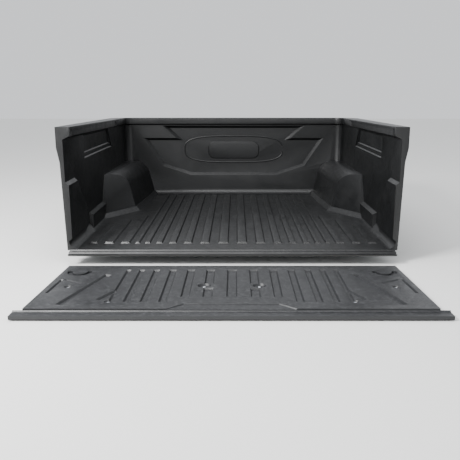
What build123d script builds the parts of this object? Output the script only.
from build123d import *
import os
from math import atan2, cos, degrees, radians, sin, tan

# Over-rail pickup bed liner with its tailgate liner and fixing kit, in millimetres.
# +X is the truck's right, +Y runs forward to the cab, +Z is up. The origin is on the
# underside of the load floor, on the centre line, midway between headboard and rear edge.

# ---- driving dimensions: the tub ----
SHEET = 5.0                    # wall of the thermoformed sheet
FLOOR_LENGTH = 1530.0          # rear edge to headboard foot
WALL_HALF = 760.0              # centre line to the lower side wall
RAIL_HEIGHT = 541.0            # floor underside to the top of the rails at the headboard
RAIL_RISE = 26.0               # the rails climb this much towards the tailgate
RAIL_INNER_REAR = 728.0        # half width between the rails at the tailgate
RAIL_INNER_FRONT = 752.0       # half width between the rails at the cab
RAIL_OUTER_REAR = 791.0        # half width over the rails at the tailgate
RAIL_OUTER_FRONT = 848.0       # half width over the rails at the cab
RAIL_LIP = 26.0                # downturn along the outer edge of the rails
FRONT_RAIL = 42.0              # depth of the rail over the headboard
ROLL_HEIGHT = 40.0             # height of the swollen roll under the rails
ROLL_SLOPE = 64.0              # degrees from upright, underside of the roll
HEADBOARD_ROLL = 18.0          # how far the roll stands out of the headboard
CORNER_RADIUS = 52.0           # upright corners beside the headboard
FLOOR_FILLET = 38.0            # floor to wall

# ---- floor ribs ----
RIB_HEIGHT = 8.0
RIB_BEVEL = 32.0               # degrees from upright on every rib flank
RIB_FIRST_PITCH = 90.0         # spacing of the two middle ribs
RIB_PITCH_STEP = 8.4           # each pitch is this much less towards the sides
RIB_FILL = 0.56                # rib width as a share of its pitch
RIBS_PER_SIDE = 7
RIB_REAR_GAP = 102.0           # plain landing strip at the rear edge
RIB_FRONT_GAP = 78.0           # plain strip at the headboard foot
OUTER_RIBS = 3                 # short ribs behind each wheel arch
OUTER_RIB_PITCH = 78.0
OUTER_RIB_FRONT = 740.0        # rear edge to the front end of the innermost short rib
OUTER_RIB_RAKE = 120.0         # each short rib starts this much further back

# ---- wheel arches ----
ARCH_HALF_FRONT = 560.0        # half width between the arches at the headboard
ARCH_HALF_REAR = 600.0         # half width between the arches at their rear corner
ARCH_CORNER = 930.0            # rear edge to the rear inner corner of the arch
ARCH_TAIL = 680.0              # rear edge to where the arch meets the side wall
ARCH_HEIGHT = 238.0
ARCH_CREST_END = 790.0         # rear edge to the rear end of the level crest
ARCH_FALL = 34.0               # degrees, slope of the crest towards the tailgate
ARCH_DRAFT = 14.0              # degrees from upright
ARCH_ROUND = 108.0             # radius over the crest
ARCH_SKIRT = 24.0              # bevelled foot round each arch

# ---- side walls ----
LEDGE_HEIGHT = 98.0            # low ledge behind the arch
LEDGE_DEPTH = 18.0
LEDGE_END = 400.0              # rear edge to the rear end of the ledge
PANEL_DEPTH = 16.0             # raised panel at the rear of each wall
PANEL_FRONT = 330.0            # rear edge to the front of the raised panel
PANEL_FOOT = 42.0
PANEL_SHOULDER = 146.0
PANEL_SLANT = 170.0            # length of the slanting upper front edge
PANEL_TOP = 318.0
WEDGE_REAR = 146.0             # sloping foot in front of the panel
WEDGE_FRONT = 400.0
WEDGE_HEIGHT = 36.0
RECESS_DEPTH = 12.0            # long upper recess below the roll
RECESS_FLOOR = 408.0           # height of its ledge
RECESS_FRONT = 1010.0          # rear edge to its front bevel
RECESS_REAR = 372.0
LOWER_TIER = 20.0              # second ledge below the first
WALL_BEVEL = 40.0              # degrees from square on the relief's flanks

# ---- headboard relief ----
RELIEF_DEPTH = 20.0            # centre panel lies this far behind the winged frame
RELIEF_BEVEL = 42.0
RELIEF_FOOT = 140.0            # height of the panel's lower edge
RELIEF_FOOT_HALF = 302.0
RELIEF_KNEE_HALF = 500.0
RELIEF_KNEE = 204.0
WING_HALF = 632.0              # outer corner under the wing
WING_UNDERSIDE = 402.0
BEAK_HALF = 402.0              # tip of the wing's beak
BEAK_TOP_HALF = 498.0
BADGE_DEPTH = 6.0              # blank raised pad in the middle of the panel
BADGE_WIDTH = 360.0
BADGE_HEIGHT = 122.0
BADGE_CENTRE = 316.0
BADGE_RADIUS = 48.0

# ---- rear posts and sill ----
POST_HALF_FOOT = 769.0         # half width over the posts at the floor
POST_HALF_ELBOW = 779.0        # and below the rail's end
POST_ELBOW = 408.0
POST_SHOULDER = 474.0          # height where the rail's end takes over
POST_RETURN = 24.0             # forward return along the post's outer edge
SILL_HALF = 757.0
SILL_REACH = 45.0              # sill lip behind the floor's rear edge
SILL_DROP = 18.0               # lowest edge of the lip below the floor's underside
SILL_STEP = 7.0

# ---- tailgate liner ----
GATE_TOP = -32.0               # top of its ribs, tailgate down
GATE_GAP = 143.0               # floor's rear edge to the liner's hinge-side edge
GATE_DEPTH = 532.0             # hinge-side edge to the step of the lip
GATE_HALF_HINGE = 724.0
GATE_HALF_LIP = 746.0
GATE_LIP_DEPTH = 46.0
GATE_LIP_HALF = 782.0
GATE_LIP_DROP = 11.0
GATE_RIM = 12.0                # downturned edge
POCKET_DEPTH = 8.0             # level pockets between its ribs
POCKET_BEVEL = 32.0
POCKET_FIRST_PITCH = 92.0
POCKET_PITCH_STEP = 7.0        # each pitch is this much less towards the ends
POCKET_WIDTH = 42.0            # middle pocket
POCKET_NARROWING = 3.6         # each pocket is this much narrower than the last
POCKETS_PER_SIDE = 6
POCKET_HINGE_GAP = 60.0        # plain border at the hinge side
POCKET_LIP_GAP = 72.0          # plain border at the lip side
APRON_HALF_WIDTH = 235.0       # sunken border in the middle of the lip side
APRON_FLARE = 60.0             # its ends splay this much
APRON_DEPTH = 54.0
APRON_SINK = 4.0
CHANNEL_WIDTH = 30.0           # slanting channel at each end of the rows
CHANNEL_HINGE_X = 522.0
CHANNEL_HINGE_Y = 128.0
CHANNEL_LIP_X = 628.0
CHANNEL_LIP_GAP = 40.0
TAIL_START = 330.0             # the outermost pocket turns off beside the channel
TAIL_LENGTH = 110.0
TAIL_SPLAY = 1.6               # how much more steeply than the channel
SCREW_DISH_RADIUS = 27.0       # dished seat round each tailgate screw
MIDDLE_SCREW_X = 110.0
MIDDLE_SCREW_Y = 275.0         # hinge-side edge to the middle screws
OUTER_SCREW_X = 650.0
OUTER_SCREW_Y = 290.0
CORNER_SCREW_X = 456.0
CORNER_SCREW_Y = 456.0
SMALL_DISH_RADIUS = 15.0
HOOK_RADIUS = 42.0             # crescent recess over each tailgate strap bolt
HOOK_WIDTH = 22.0
HOOK_X = 652.0
HOOK_Y = 92.0
BAR_INNER_X = 605.0            # short raked recess beside the crescent
BAR_INNER_Y = 246.0
BAR_OUTER_X = 688.0
BAR_OUTER_Y = 196.0
BAR_WIDTH = 16.0
GROOVE_LENGTH = 170.0          # narrow groove along each end
GROOVE_WIDTH = 12.0

# ---- fixing points of the tub ----
SEAT_WIDTH = 26.0              # upright U-shaped seat of each rail screw
SEAT_HEIGHT = 44.0
SEAT_DEPTH = 9.0
SEAT_BELOW_RAIL = 30.0         # rail top to the screw
REAR_SEAT = 38.0               # rear edge to the rear screws
FRONT_SEAT = 1120.0            # rear edge to the front screws

# ---- fixing kit ----
SCREW_RADIUS = 3.0
SCREW_HEAD_RADIUS = 7.0
SCREW_HEAD = 3.6
SCREW_HEAD_TAPER = 35.0        # degrees, its domed edge
SCREW_LENGTH = 24.0
WASHER_RADIUS = 10.0
WASHER = 1.6
NUT_WIDTH = 16.0
NUT_LENGTH = 22.0
NUT_SHEET = 1.2
PANEL_GRIP = 1.4               # truck's sheet metal between liner and nut
HOLE_CLEARANCE = 0.6           # liner's hole round the screw
NUT_CHAMFER = 3.0
FOAM = 4.0                     # self-adhesive foam strip
FOAM_WIDTH = 26.0
GATE_FOAM_LENGTH = 540.0
ADHESIVE = 0.1                 # film between each foam strip and the sheet

# ---- worked out from the above ----
REAR = -FLOOR_LENGTH / 2
FRONT = FLOOR_LENGTH / 2
FAR = 200.0                    # overrun of cutting shapes past the sheet
GATE_HINGE_EDGE = REAR - GATE_GAP
GATE_LIP_EDGE = GATE_HINGE_EDGE - GATE_DEPTH


def growth(grow, bevel):
    """Sideways shift of a bevelled flank when its sheet surface moves by grow."""
    return grow * (1 - sin(radians(bevel))) / cos(radians(bevel))


def rail_inner(y):
    """Half width between the rails at a place along the bed."""
    return RAIL_INNER_REAR + (RAIL_INNER_FRONT - RAIL_INNER_REAR) * (y - REAR) / FLOOR_LENGTH


def rail_outer(y):
    """Half width over the rails at a place along the bed."""
    return RAIL_OUTER_REAR + (RAIL_OUTER_FRONT - RAIL_OUTER_REAR) * (y - REAR) / FLOOR_LENGTH


def rail_top(y):
    """Height of the rail tops at a place along the bed."""
    return RAIL_HEIGHT + RAIL_RISE * (FRONT - y) / FLOOR_LENGTH


def roll_foot(y):
    """Height of the line where the underside of the roll meets the side wall."""
    return rail_top(y) - ROLL_HEIGHT - (WALL_HALF - rail_inner(y)) / tan(radians(ROLL_SLOPE))


def rail_plane(below):
    """Plane parallel to the rail tops, this far below them, with its origin over the foot of
    the headboard."""
    return Plane((0, FRONT, RAIL_HEIGHT - below), x_dir=(1, 0, 0),
                 z_dir=(0, RAIL_RISE / FLOOR_LENGTH, 1))


def plan_outline(plane, rear_half, front_half, ahead, radius):
    """Outline of the load space on a plane over the headboard's foot: open past the rear edge,
    rounded at the headboard, whose face is this far ahead of the plane's origin."""
    tail = -(FLOOR_LENGTH + FAR)
    tail_half = rear_half - (front_half - rear_half) * FAR / FLOOR_LENGTH
    with BuildSketch(plane) as outline:
        with BuildLine():
            Polyline((-tail_half, tail), (tail_half, tail), (front_half, ahead),
                     (-front_half, ahead), close=True)
        make_face()
        fillet(outline.vertices().sort_by(Axis.Y)[-2:], radius)
    return outline.sketch


def arch_plan(plane, spread):
    """Plan of the right wheel arch, grown by spread, running on into the wall and headboard."""
    ahead_half = ARCH_HALF_FRONT - (ARCH_HALF_REAR - ARCH_HALF_FRONT) * FAR / (
        FLOOR_LENGTH - ARCH_CORNER)
    with BuildSketch(plane) as plan:
        with BuildLine():
            Polyline((ahead_half, FRONT + FAR), (ARCH_HALF_REAR, REAR + ARCH_CORNER),
                     (WALL_HALF, REAR + ARCH_TAIL), (WALL_HALF + FAR, REAR + ARCH_TAIL - FAR),
                     (WALL_HALF + FAR, FRONT + FAR), close=True)
        make_face()
        if spread:
            offset(amount=spread, kind=Kind.INTERSECTION)
    return plan.sketch


def arches(grow):
    """Wheel arches: drafted plan blocks cut to their side profile, rounded over the crest,
    each on a low bevelled skirt."""
    crest_end = REAR + ARCH_CREST_END + growth(grow, 90 - ARCH_FALL)
    top = SHEET + ARCH_HEIGHT - grow
    with BuildPart() as blocks:
        add(arch_plan(Plane.XY.offset(SHEET - grow), -growth(grow, ARCH_DRAFT)))
        extrude(amount=ARCH_HEIGHT, taper=ARCH_DRAFT)
        with BuildSketch(Plane.YZ):
            with BuildLine():
                Polyline((FRONT + 2 * FAR, top), (crest_end, top),
                         (crest_end - ARCH_HEIGHT / tan(radians(ARCH_FALL)), SHEET - grow),
                         (FRONT + 2 * FAR, SHEET - grow), close=True)
            make_face()
        extrude(amount=WALL_HALF + 2 * FAR, mode=Mode.INTERSECT)
        crest = blocks.faces().sort_by(Axis.Z)[-1]
        fillet(crest.edges().sort_by(Axis.X)[0], ARCH_ROUND - grow)
        add(arch_plan(Plane.XY.offset(SHEET - grow), ARCH_SKIRT - growth(grow, 45)))
        extrude(amount=ARCH_SKIRT, taper=45)
        mirror(about=Plane.YZ)
    return blocks.part


def floor_ribs(grow):
    """Raised ribs along the floor, closer together towards the sides, with bevelled ends."""
    inset = growth(grow, RIB_BEVEL)
    rear = REAR + RIB_REAR_GAP
    with BuildPart() as ribs:
        with BuildSketch(Plane.XY.offset(SHEET - grow)):
            centre, pitch = RIB_FIRST_PITCH / 2, RIB_FIRST_PITCH
            length = FLOOR_LENGTH - RIB_REAR_GAP - RIB_FRONT_GAP
            for _ in range(RIBS_PER_SIDE):
                with Locations((centre, rear + length / 2), (-centre, rear + length / 2)):
                    Rectangle(pitch * RIB_FILL - 2 * inset, length - 2 * inset)
                centre += pitch
                pitch -= RIB_PITCH_STEP
            centre += OUTER_RIB_PITCH / 4
            for number in range(OUTER_RIBS):
                length = OUTER_RIB_FRONT - RIB_REAR_GAP - number * OUTER_RIB_RAKE
                with Locations((centre, rear + length / 2), (-centre, rear + length / 2)):
                    Rectangle(OUTER_RIB_PITCH * RIB_FILL - 2 * inset, length - 2 * inset)
                centre += OUTER_RIB_PITCH
        extrude(amount=RIB_HEIGHT, taper=RIB_BEVEL)
    return ribs.part


def wall_relief(grow):
    """Low ledge that carries on behind each arch, and the raised panel at the rear."""
    inset = growth(grow, WALL_BEVEL)
    # seen from the load space: first coordinate towards the rear, second up
    wall = Plane((WALL_HALF + grow, 0, 0), x_dir=(0, -1, 0), z_dir=(-1, 0, 0))
    arch_end = -(REAR + ARCH_CREST_END)
    ledge_end = -(REAR + LEDGE_END)
    panel_front = -(REAR + PANEL_FRONT)
    with BuildPart() as relief:
        with BuildSketch(wall):
            with BuildLine():
                Polyline((arch_end, -FAR), (ledge_end, -FAR), (ledge_end, LEDGE_HEIGHT),
                         (arch_end, LEDGE_HEIGHT), close=True)
            make_face()
            if grow:
                offset(amount=-inset, kind=Kind.INTERSECTION)
        extrude(amount=LEDGE_DEPTH, taper=WALL_BEVEL)
        with BuildSketch(wall):
            with BuildLine():
                Polyline((panel_front, PANEL_FOOT), (FAR - REAR, PANEL_FOOT),
                         (FAR - REAR, PANEL_TOP), (panel_front + PANEL_SLANT, PANEL_TOP),
                         (panel_front, PANEL_SHOULDER), close=True)
            make_face()
            if grow:
                offset(amount=-inset, kind=Kind.INTERSECTION)
        extrude(amount=PANEL_DEPTH, taper=WALL_BEVEL)
        # a wedge along the foot of the wall, highest in front of the panel
        wedge_rear, wedge_front = -(REAR + WEDGE_REAR), -(REAR + WEDGE_FRONT)
        with BuildSketch(wall):
            with BuildLine():
                Polyline((wedge_front, -FAR), (wedge_rear, -FAR), (wedge_rear, SHEET - grow),
                         (wedge_front, SHEET + WEDGE_HEIGHT - grow), close=True)
            make_face()
        extrude(amount=FLOOR_FILLET - growth(grow, WALL_BEVEL), taper=WALL_BEVEL)
        mirror(about=Plane.YZ)
    return relief.part


def wall_recesses(grow):
    """Long recess below the roll with a second, shallower tier under its ledge."""
    outset = growth(grow, WALL_BEVEL)
    mouth = Plane((WALL_HALF + grow, 0, 0), x_dir=(0, 1, 0), z_dir=(1, 0, 0))
    rear, front = REAR + RECESS_REAR, REAR + RECESS_FRONT
    with BuildPart() as recess:
        for depth, ledge, splay in ((RECESS_DEPTH, RECESS_FLOOR, 0),
                                    (RECESS_DEPTH / 2, RECESS_FLOOR - LOWER_TIER, LOWER_TIER)):
            top = roll_foot(front)
            with BuildSketch(mouth) as opening:
                with BuildLine():
                    Polyline((rear, ledge), (front + 2 * splay, ledge),
                             (front - (top - ledge) / 2, top), (rear, roll_foot(rear)), close=True)
                make_face()
                if grow:
                    offset(amount=outset, kind=Kind.INTERSECTION)
            extrude(amount=depth, taper=WALL_BEVEL)
            extrude(opening.sketch, amount=-SHEET)
        mirror(about=Plane.YZ)
    return recess.part


def headboard_panel(grow):
    """Recessed centre panel of the headboard, with a beaked wing left standing at each side."""
    top = RAIL_HEIGHT - ROLL_HEIGHT - HEADBOARD_ROLL / tan(radians(ROLL_SLOPE)) - SHEET
    spread = (BEAK_TOP_HALF - BEAK_HALF) / (top - WING_UNDERSIDE)
    below_beak = WING_UNDERSIDE - 2 * RELIEF_DEPTH
    field = [(RELIEF_FOOT_HALF, RELIEF_FOOT), (RELIEF_KNEE_HALF, RELIEF_KNEE),
             (WING_HALF, WING_UNDERSIDE)]
    between_beaks = [(BEAK_HALF - spread * (WING_UNDERSIDE - below_beak), below_beak),
                     (BEAK_TOP_HALF, top)]
    with BuildPart() as panel:
        for half in (field, between_beaks):
            with BuildSketch(Plane((0, FRONT + grow, 0), x_dir=(-1, 0, 0),
                                   z_dir=(0, 1, 0))) as mouth:
                with BuildLine():
                    Polyline(half + [(-x, z) for x, z in reversed(half)], close=True)
                make_face()
                if grow:
                    offset(amount=growth(grow, RELIEF_BEVEL), kind=Kind.INTERSECTION)
            extrude(amount=RELIEF_DEPTH, taper=RELIEF_BEVEL)
            extrude(mouth.sketch, amount=-SHEET)
        # a blank raised pad in the middle of the panel
        with BuildSketch(Plane((0, FRONT + RELIEF_DEPTH + grow, 0), x_dir=(1, 0, 0),
                               z_dir=(0, -1, 0))):
            with Locations((0, BADGE_CENTRE)):
                inset = 2 * growth(grow, RELIEF_BEVEL)
                RectangleRounded(BADGE_WIDTH - inset, BADGE_HEIGHT - inset,
                                 BADGE_RADIUS - inset / 2)
        extrude(amount=BADGE_DEPTH, taper=RELIEF_BEVEL, mode=Mode.SUBTRACT)
    return panel.part


def rail_seats(grow):
    """Upright U-shaped seats pressed into the roll, one for each rail screw."""
    with BuildPart() as seats:
        for y in (REAR + REAR_SEAT, REAR + FRONT_SEAT):
            floor = rail_inner(y) + SEAT_DEPTH + grow
            with BuildSketch(Plane((floor, 0, 0), x_dir=(0, 1, 0), z_dir=(-1, 0, 0))):
                with Locations((y, SEAT_BELOW_RAIL - rail_top(y))):
                    SlotOverall(SEAT_HEIGHT + 2 * grow, SEAT_WIDTH + 2 * grow, rotation=90)
            extrude(amount=SEAT_DEPTH + FAR)
        mirror(about=Plane.YZ)
    return seats.part


def under_roll(grow):
    """Everything below the sloping underside of the roll."""
    rise = FAR / 3
    spread = rise * tan(radians(ROLL_SLOPE))
    foot = rail_plane(ROLL_HEIGHT + rise - growth(grow, 90 - ROLL_SLOPE))
    base = (RAIL_INNER_REAR + spread + grow, RAIL_INNER_FRONT + spread + grow,
            spread + grow - HEADBOARD_ROLL, CORNER_RADIUS + spread + grow)
    with BuildPart() as below:
        add(plan_outline(foot, *base))
        extrude(amount=rise, taper=ROLL_SLOPE)
        add(plan_outline(foot, *base))
        extrude(amount=-2 * RAIL_HEIGHT)
    return below.part


def load_space(grow):
    """Air inside the tub. grow moves every face of it outwards through the sheet."""
    with BuildPart() as air:
        add(plan_outline(Plane((0, FRONT, SHEET - grow)), WALL_HALF + grow, WALL_HALF + grow, grow,
                         CORNER_RADIUS + grow))
        extrude(amount=2 * RAIL_HEIGHT)
        fillet(air.edges().group_by(Axis.Z)[0].sort_by(Axis.Y)[1:], FLOOR_FILLET + grow)
        add(under_roll(grow), mode=Mode.INTERSECT)
        # the narrower mouth between the rails
        add(plan_outline(rail_plane(ROLL_HEIGHT + SHEET), RAIL_INNER_REAR + grow,
                         RAIL_INNER_FRONT + grow, grow - HEADBOARD_ROLL, CORNER_RADIUS + grow))
        extrude(amount=ROLL_HEIGHT + FAR)
        add(wall_recesses(grow))
        add(headboard_panel(grow))
        add(rail_seats(grow))
        add(wall_relief(grow), mode=Mode.SUBTRACT)
        add(arches(grow), mode=Mode.SUBTRACT)
        add(floor_ribs(grow), mode=Mode.SUBTRACT)
    return air.part


def gate_screws():
    """Across, distance from the hinge edge, and dish radius of the tailgate's screws."""
    return ((MIDDLE_SCREW_X, MIDDLE_SCREW_Y, SCREW_DISH_RADIUS),
            (OUTER_SCREW_X, OUTER_SCREW_Y, SMALL_DISH_RADIUS),
            (CORNER_SCREW_X, CORNER_SCREW_Y, SMALL_DISH_RADIUS))


def screw_seats():
    """The seats of each left and right pair of screws, as planes facing out of the sheet."""
    seats = {}
    for row, y in (("rail_rear", REAR + REAR_SEAT), ("rail_front", REAR + FRONT_SEAT)):
        seats[row] = [Plane((side * (rail_inner(y) + SEAT_DEPTH), y, rail_top(y) - SEAT_BELOW_RAIL),
                            x_dir=(0, 1, 0), z_dir=(-side, 0, 0)) for side in (-1, 1)]
    for row, (x, from_hinge, _) in zip(("gate_middle", "gate_outer", "gate_corner"),
                                       gate_screws()):
        seats[row] = [Plane((side * x, GATE_HINGE_EDGE - from_hinge, GATE_TOP - POCKET_DEPTH),
                            x_dir=(side, 0, 0), z_dir=(0, 0, 1)) for side in (-1, 1)]
    return seats


def rail_outline(plane, inset):
    """Outline over the rails, drawn in by inset, running on past the rear edge."""
    radius = CORNER_RADIUS + RAIL_OUTER_FRONT - RAIL_INNER_FRONT
    return plan_outline(plane, RAIL_OUTER_REAR - inset, RAIL_OUTER_FRONT - inset,
                        FRONT_RAIL - HEADBOARD_ROLL - inset, radius - inset)


def gate_outline(z, inset):
    """Level outline of the tailgate liner's panel, drawn in by inset."""
    with BuildSketch(Plane.XY.offset(z)) as outline:
        with BuildLine():
            Polyline((-GATE_HALF_LIP, GATE_LIP_EDGE), (GATE_HALF_LIP, GATE_LIP_EDGE),
                     (GATE_HALF_HINGE, GATE_HINGE_EDGE), (-GATE_HALF_HINGE, GATE_HINGE_EDGE),
                     close=True)
        make_face()
        if inset:
            offset(amount=-inset, kind=Kind.INTERSECTION)
    return outline.sketch


def trough(start, end, width):
    """Add a straight run of recess and its mirror image to a sketch, between two points given
    as distance from the centre line and distance behind the liner's hinge edge."""
    run = Vector(end) - Vector(start)
    centre = (Vector(start) + Vector(end)) / 2
    turn = degrees(atan2(run.Y, run.X))
    for side in (-1, 1):
        with Locations((side * centre.X, centre.Y - GATE_HINGE_EDGE)):
            Rectangle(run.length, width, rotation=side * turn)


def gate_space(grow):
    """Air over the tailgate liner, with its pockets, dishes and channels reaching down."""
    outset = growth(grow, POCKET_BEVEL)
    # the mouth of every recess, seen from below: second coordinate runs to the rear
    mouth = Plane((0, 0, GATE_TOP - grow), x_dir=(1, 0, 0), z_dir=(0, 0, -1))
    first = POCKET_HINGE_GAP - outset
    with BuildPart() as air:
        with BuildSketch(mouth):
            Rectangle(4 * WALL_HALF, 4 * FLOOR_LENGTH)
        extrude(amount=-FAR)
        with BuildSketch(mouth):
            centre, pitch = 0.0, POCKET_FIRST_PITCH
            for index in range(POCKETS_PER_SIDE + 1):
                width = POCKET_WIDTH - index * POCKET_NARROWING + 2 * outset
                last = GATE_DEPTH - POCKET_LIP_GAP + outset
                if centre < APRON_HALF_WIDTH:
                    last -= APRON_DEPTH
                if abs(centre - MIDDLE_SCREW_X) < width / 2:
                    # the screw's dish interrupts this pocket
                    trough((centre, first), (centre, MIDDLE_SCREW_Y - SCREW_DISH_RADIUS), width)
                    trough((centre, MIDDLE_SCREW_Y + SCREW_DISH_RADIUS), (centre, last), width)
                else:
                    trough((centre, first), (centre, last), width)
                outermost = centre
                centre += pitch
                pitch -= POCKET_PITCH_STEP
            trough((CHANNEL_HINGE_X, CHANNEL_HINGE_Y - outset),
                   (CHANNEL_LIP_X, GATE_DEPTH - CHANNEL_LIP_GAP + outset),
                   CHANNEL_WIDTH + 2 * outset)
            trough((BAR_INNER_X - outset, BAR_INNER_Y), (BAR_OUTER_X + outset, BAR_OUTER_Y),
                   BAR_WIDTH + 2 * outset)
        extrude(amount=POCKET_DEPTH, taper=POCKET_BEVEL)
        with BuildSketch(mouth):
            for x, from_hinge, radius in gate_screws():
                with Locations((x, from_hinge - GATE_HINGE_EDGE), (-x, from_hinge - GATE_HINGE_EDGE)):
                    Circle(radius + outset)
            trough((BAR_OUTER_X + GROOVE_WIDTH, BAR_OUTER_Y - outset),
                   (BAR_OUTER_X + 2 * GROOVE_WIDTH, BAR_OUTER_Y + GROOVE_LENGTH + outset),
                   GROOVE_WIDTH + 2 * outset)
        extrude(amount=POCKET_DEPTH, taper=POCKET_BEVEL)
        # the outermost pocket turns off beside the channel
        with BuildSketch(mouth):
            slant = (CHANNEL_LIP_X - CHANNEL_HINGE_X) / (GATE_DEPTH - CHANNEL_LIP_GAP
                                                         - CHANNEL_HINGE_Y)
            trough((outermost, TAIL_START), (outermost + TAIL_SPLAY * slant * TAIL_LENGTH,
                                             TAIL_START + TAIL_LENGTH + outset), width)
        extrude(amount=POCKET_DEPTH, taper=POCKET_BEVEL)
        # crescents over the strap bolts
        with BuildSketch(mouth):
            with Locations((HOOK_X, HOOK_Y - GATE_HINGE_EDGE), (-HOOK_X, HOOK_Y - GATE_HINGE_EDGE)):
                SlotArc(CenterArc((0, 0), HOOK_RADIUS, 180, 180, mode=Mode.PRIVATE),
                        HOOK_WIDTH + 2 * grow)
        extrude(amount=POCKET_DEPTH)
        # the lip side is sunk along its middle, between splayed ends
        splay = APRON_FLARE / APRON_DEPTH
        apron = GATE_DEPTH - APRON_DEPTH - outset
        beyond = GATE_DEPTH + FAR
        narrow = APRON_HALF_WIDTH - APRON_FLARE
        wide = narrow + (beyond - apron) * splay
        with BuildSketch(mouth):
            with BuildLine():
                Polyline((-narrow, apron - GATE_HINGE_EDGE), (narrow, apron - GATE_HINGE_EDGE),
                         (wide, beyond - GATE_HINGE_EDGE), (-wide, beyond - GATE_HINGE_EDGE),
                         close=True)
            make_face()
        extrude(amount=APRON_SINK, taper=POCKET_BEVEL)
    return air.part


os.makedirs("parts", exist_ok=True)
seats = screw_seats()

# ---- tub liner: the sheet between its visible side and its back, with rails, posts and sill ----
visible_side = load_space(0)
back_side = load_space(SHEET)

with BuildPart() as rail_cap:
    # a band over the body sides and the headboard with a downturned outer edge
    add(rail_outline(rail_plane(RAIL_LIP), 0))
    extrude(amount=RAIL_LIP)
    add(rail_outline(rail_plane(RAIL_LIP), SHEET))
    extrude(amount=RAIL_LIP - SHEET, mode=Mode.SUBTRACT)

with BuildPart() as posts:
    # flanges that stand outwards from the walls' rear edges, with a return along the outside
    with BuildSketch(Plane((0, REAR, 0), x_dir=(-1, 0, 0), z_dir=(0, 1, 0))) as post_face:
        with BuildLine():
            half = [(POST_HALF_FOOT, 0), (POST_HALF_ELBOW, POST_ELBOW),
                    (RAIL_OUTER_REAR, POST_SHOULDER), (RAIL_OUTER_REAR, rail_top(REAR) - SHEET / 2)]
            Polyline(half + [(-x, z) for x, z in reversed(half)], close=True)
        make_face()
    extrude(amount=POST_RETURN)
    with BuildSketch(Plane((0, REAR + SHEET, 0), x_dir=(-1, 0, 0), z_dir=(0, 1, 0))):
        add(post_face.sketch_local)
        offset(amount=-SHEET, kind=Kind.INTERSECTION)
    extrude(amount=POST_RETURN, mode=Mode.SUBTRACT)

with BuildPart() as tub_liner:
    add(back_side)
    split(bisect_by=rail_plane(SHEET / 2), keep=Keep.BOTTOM)
    add(rail_cap.part)
    add(posts.part)
    add(visible_side, mode=Mode.SUBTRACT)
    # everything but the sill ends at the rear edge
    with BuildSketch(Plane.XY.offset(-FAR)):
        with Locations((0, REAR - FAR)):
            Rectangle(4 * WALL_HALF, 2 * FAR)
    extrude(amount=2 * FAR + 2 * RAIL_HEIGHT, mode=Mode.SUBTRACT)
    # sill: a double step down over the bed's rear edge
    with BuildSketch(Plane.YZ.offset(-SILL_HALF)):
        with BuildLine():
            step = SILL_REACH / 7
            low = SHEET - 2 * SILL_STEP
            edge = [(REAR, SHEET), (REAR - step, SHEET),
                    (REAR - 2 * step, SHEET - SILL_STEP), (REAR - 4 * step, SHEET - SILL_STEP),
                    (REAR - 5 * step, low), (REAR - SILL_REACH, low),
                    (REAR - SILL_REACH, SHEET - SILL_DROP)]
            Polyline(edge + [(y + SHEET, z - SHEET) for y, z in reversed(edge)], close=True)
        make_face()
    extrude(amount=2 * SILL_HALF)
    for row in ("rail_rear", "rail_front"):
        for seat in seats[row]:
            with BuildSketch(seat.offset(SHEET)):
                Circle(SCREW_RADIUS + HOLE_CLEARANCE)
            extrude(amount=-3 * SHEET, mode=Mode.SUBTRACT)
tub_liner.part.label = "tub_liner"
export_step(tub_liner.part, "parts/tub_liner.step")

# ---- tailgate liner ----
with BuildPart() as gate_skirt:
    # downturned rim round the panel
    add(gate_outline(GATE_TOP - GATE_RIM, 0))
    extrude(amount=GATE_RIM - SHEET / 2)
    add(gate_outline(GATE_TOP - GATE_RIM, SHEET))
    extrude(amount=GATE_RIM, mode=Mode.SUBTRACT)

with BuildPart() as tailgate_liner:
    add(gate_space(SHEET))
    gate_bottom = GATE_TOP - SHEET - POCKET_DEPTH
    add(gate_outline(gate_bottom, 0))
    extrude(amount=GATE_TOP - gate_bottom, mode=Mode.INTERSECT)
    add(gate_skirt.part)
    # lip over the tailgate's top edge, wider than the panel
    with BuildSketch(Plane.YZ.offset(-GATE_LIP_HALF)):
        with BuildLine():
            low = GATE_TOP - GATE_LIP_DROP
            edge = [(GATE_LIP_EDGE, low + SHEET), (GATE_LIP_EDGE - SHEET, low),
                    (GATE_LIP_EDGE - GATE_LIP_DEPTH, low),
                    (GATE_LIP_EDGE - GATE_LIP_DEPTH, low - GATE_RIM)]
            Polyline(edge + [(y + SHEET, z - SHEET) for y, z in reversed(edge)], close=True)
        make_face()
    extrude(amount=2 * GATE_LIP_HALF)
    add(gate_space(0), mode=Mode.SUBTRACT)
    for row in ("gate_middle", "gate_outer", "gate_corner"):
        for seat in seats[row]:
            with BuildSketch(seat.offset(SHEET)):
                Circle(SCREW_RADIUS + HOLE_CLEARANCE)
            extrude(amount=-3 * SHEET, mode=Mode.SUBTRACT)
tailgate_liner.part.label = "tailgate_liner"
export_step(tailgate_liner.part, "parts/tailgate_liner.step")

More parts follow.
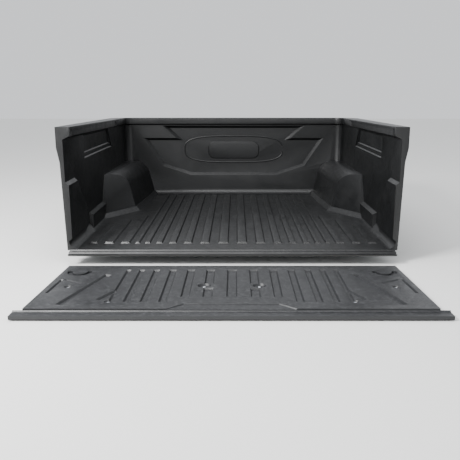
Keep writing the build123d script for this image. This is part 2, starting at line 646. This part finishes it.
# ---- fixing kit: a screw, a cup washer and a U-nut at every seat, in left and right pairs ----
for row, pair in seats.items():
    with BuildPart() as washers:
        for seat in pair:
            with BuildSketch(seat):
                Circle(WASHER_RADIUS)
                Circle(SCREW_RADIUS + HOLE_CLEARANCE / 2, mode=Mode.SUBTRACT)
            extrude(amount=WASHER)
    washers.part.label = f"{row}_washers"
    export_step(washers.part, f"parts/{row}_washers.step")

    with BuildPart() as screws:
        for seat in pair:
            with BuildSketch(seat.offset(WASHER)):
                Circle(SCREW_HEAD_RADIUS)
            extrude(amount=SCREW_HEAD, taper=SCREW_HEAD_TAPER)
            with BuildSketch(seat.offset(WASHER)):
                Circle(SCREW_RADIUS)
            extrude(amount=-SCREW_LENGTH)
    screws.part.label = f"{row}_screws"
    export_step(screws.part, f"parts/{row}_screws.step")

    with BuildPart() as u_nuts:
        # two leaves that clasp the truck's sheet metal behind the liner, joined by a bend
        for seat in pair:
            for depth in (SHEET, SHEET + NUT_SHEET + PANEL_GRIP):
                with BuildSketch(seat.offset(-depth)) as leaf:
                    Rectangle(NUT_LENGTH, NUT_WIDTH)
                    chamfer(leaf.vertices(), NUT_CHAMFER)
                extrude(amount=-NUT_SHEET)
            with BuildSketch(seat.offset(-SHEET)):
                with Locations((NUT_LENGTH / 2 - NUT_SHEET / 2, 0)):
                    Rectangle(NUT_SHEET, NUT_WIDTH - 2 * NUT_CHAMFER)
            extrude(amount=-(2 * NUT_SHEET + PANEL_GRIP))
            with BuildSketch(seat):
                Circle(SCREW_RADIUS)
            extrude(amount=-SCREW_LENGTH, mode=Mode.SUBTRACT)
    u_nuts.part.label = f"{row}_nuts"
    export_step(u_nuts.part, f"parts/{row}_nuts.step")

# ---- foam strips: under the rails where they meet the truck, and under the tailgate liner ----
foam_rear = REAR + POST_RETURN + FOAM_WIDTH
foam_front = FRONT - CORNER_RADIUS - FOAM_WIDTH
for side, side_name in ((-1, "left"), (1, "right")):
    with BuildPart() as rail_foam:
        with BuildSketch(rail_plane(SHEET + ADHESIVE + FOAM)):
            with BuildLine():
                middle = [((rail_inner(y) + rail_outer(y)) / 2, y - FRONT)
                          for y in (foam_rear, foam_front)]
                Polyline([(side * (x - FOAM_WIDTH / 2), y) for x, y in middle]
                         + [(side * (x + FOAM_WIDTH / 2), y) for x, y in reversed(middle)],
                         close=True)
            make_face()
        extrude(amount=side * FOAM)
    rail_foam.part.label = f"rail_foam_{side_name}"
    export_step(rail_foam.part, f"parts/rail_foam_{side_name}.step")

    with BuildPart() as gate_foam:
        with BuildSketch(Plane.XY.offset(GATE_TOP - SHEET - ADHESIVE - FOAM)):
            with Locations((side * (FOAM_WIDTH + GATE_FOAM_LENGTH / 2),
                            GATE_HINGE_EDGE - POCKET_HINGE_GAP / 2)):
                Rectangle(GATE_FOAM_LENGTH, FOAM_WIDTH)
        extrude(amount=FOAM)
    gate_foam.part.label = f"gate_foam_{side_name}"
    export_step(gate_foam.part, f"parts/gate_foam_{side_name}.step")

with BuildPart() as headboard_foam:
    with BuildSketch(rail_plane(SHEET + ADHESIVE + FOAM)):
        with Locations((0, (FRONT_RAIL - HEADBOARD_ROLL - HEADBOARD_ROLL) / 2)):
            Rectangle(2 * (RAIL_INNER_FRONT - CORNER_RADIUS), FRONT_RAIL - 4 * SHEET)
    extrude(amount=FOAM)
headboard_foam.part.label = "headboard_foam"
export_step(headboard_foam.part, "parts/headboard_foam.step")
